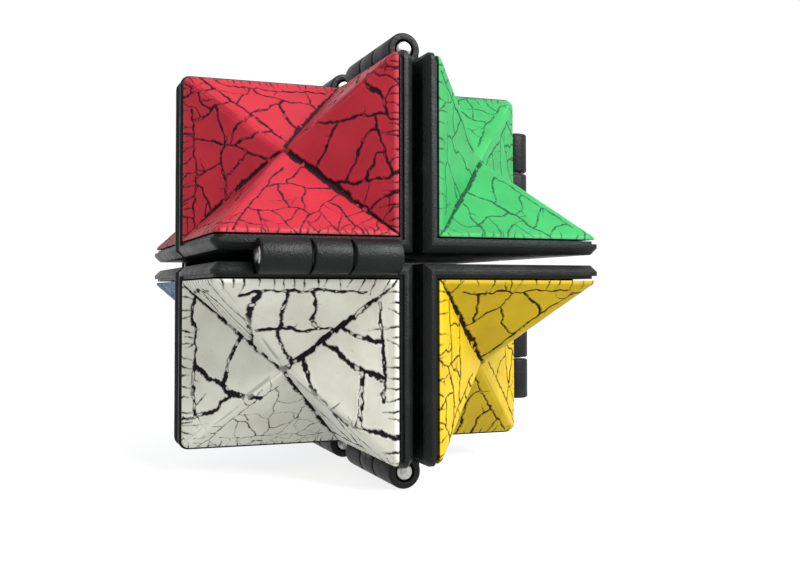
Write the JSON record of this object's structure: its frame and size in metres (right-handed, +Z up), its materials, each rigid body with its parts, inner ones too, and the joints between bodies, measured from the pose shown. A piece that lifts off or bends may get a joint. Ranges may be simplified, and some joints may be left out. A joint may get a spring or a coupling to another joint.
{
  "type": "folding star cube puzzle",
  "caption": "Hand-sized folding puzzle: eight crackle-finish star units on black plates, hinged in one closed ring.",
  "frame": {"origin": "centre of the closed star's bounding box; the three planes between the units cross 2.2 mm to its left, at x = -2.2 mm, y = 0, z = 0", "axes": "+Z up with two hinge barrels on the top; -Y the front, with one hinge barrel on its left half; +X the side with two upright hinge barrels"},
  "size_m": [0.0712, 0.0756, 0.0756],
  "materials": {
    "black_frame": "satin black moulded ABS with a fine grain",
    "steel_pin": "plain steel wire, ends ground flat",
    "red_crackle": "red lacquer crazed in a black crackle pattern, satin gloss",
    "green_crackle": "green lacquer crazed in a black crackle pattern, satin gloss",
    "orange_crackle": "orange lacquer crazed in a black crackle pattern, satin gloss",
    "dark_red_crackle": "dark red lacquer crazed in a black crackle pattern, satin gloss",
    "white_crackle": "white lacquer crazed in a black crackle pattern, satin gloss",
    "yellow_crackle": "yellow lacquer crazed in a black crackle pattern, satin gloss",
    "violet_crackle": "violet lacquer crazed in a black crackle pattern, satin gloss",
    "blue_crackle": "blue lacquer crazed in a black crackle pattern, satin gloss"
  },
  "bodies": {
    "front_left_top": {"front_left_top_frame": "black_frame", "front_left_top_shell": "red_crackle", "front_left_top_x_pin": "steel_pin"},
    "front_right_top": {"front_right_top_frame": "black_frame", "front_right_top_shell": "green_crackle", "front_right_top_y_pin": "steel_pin"},
    "back_right_top": {"back_right_top_frame": "black_frame", "back_right_top_shell": "orange_crackle", "back_right_top_y_pin": "steel_pin", "back_right_top_z_pin": "steel_pin"},
    "back_left_top": {"back_left_top_frame": "black_frame", "back_left_top_shell": "dark_red_crackle", "back_left_top_inner_stub_pin": "steel_pin", "back_left_top_outer_stub_pin": "steel_pin"},
    "front_left_bottom": {"front_left_bottom_frame": "black_frame", "front_left_bottom_shell": "white_crackle"},
    "front_right_bottom": {"front_right_bottom_frame": "black_frame", "front_right_bottom_shell": "yellow_crackle", "front_right_bottom_y_pin": "steel_pin"},
    "back_right_bottom": {"back_right_bottom_frame": "black_frame", "back_right_bottom_shell": "violet_crackle", "back_right_bottom_y_pin": "steel_pin", "back_right_bottom_z_pin": "steel_pin"},
    "back_left_bottom": {"back_left_bottom_frame": "black_frame", "back_left_bottom_shell": "blue_crackle"}
  },
  "joints": [
    {"name": "top_flap", "type": "hinge", "parent": "front_left_top", "child": "front_right_top", "pos_m": [-0.0022, 0, 0.035], "axis": [0, -1, 0], "range_deg": [0, 180]},
    {"name": "top_book", "type": "hinge", "parent": "front_right_top", "child": "back_right_top", "pos_m": [0.0328, 0, 0], "axis": [0, 0, -1], "range_deg": [0, 180]},
    {"name": "top_flap_back", "type": "hinge", "parent": "back_right_top", "child": "back_left_top", "pos_m": [-0.0022, 0, 0.035], "axis": [0, 1, 0], "range_deg": [0, 180]},
    {"name": "roll", "type": "hinge", "parent": "front_left_top", "child": "front_left_bottom", "pos_m": [0, -0.035, 0], "axis": [-1, 0, 0], "range_deg": [0, 180]},
    {"name": "bottom_flap", "type": "hinge", "parent": "front_left_bottom", "child": "front_right_bottom", "pos_m": [-0.0022, 0, -0.035], "axis": [0, 1, 0], "range_deg": [0, 180]},
    {"name": "bottom_book", "type": "hinge", "parent": "front_right_bottom", "child": "back_right_bottom", "pos_m": [0.0328, 0, 0], "axis": [0, 0, -1], "range_deg": [0, 180]},
    {"name": "bottom_flap_back", "type": "hinge", "parent": "back_right_bottom", "child": "back_left_bottom", "pos_m": [-0.0022, 0, -0.035], "axis": [0, -1, 0], "range_deg": [0, 180]}
  ],
  "couplings": [
    {"joint": "top_flap_back", "follows": "top_flap", "ratio": 1},
    {"joint": "bottom_book", "follows": "top_book", "ratio": 1},
    {"joint": "bottom_flap_back", "follows": "bottom_flap", "ratio": 1}
  ]
}
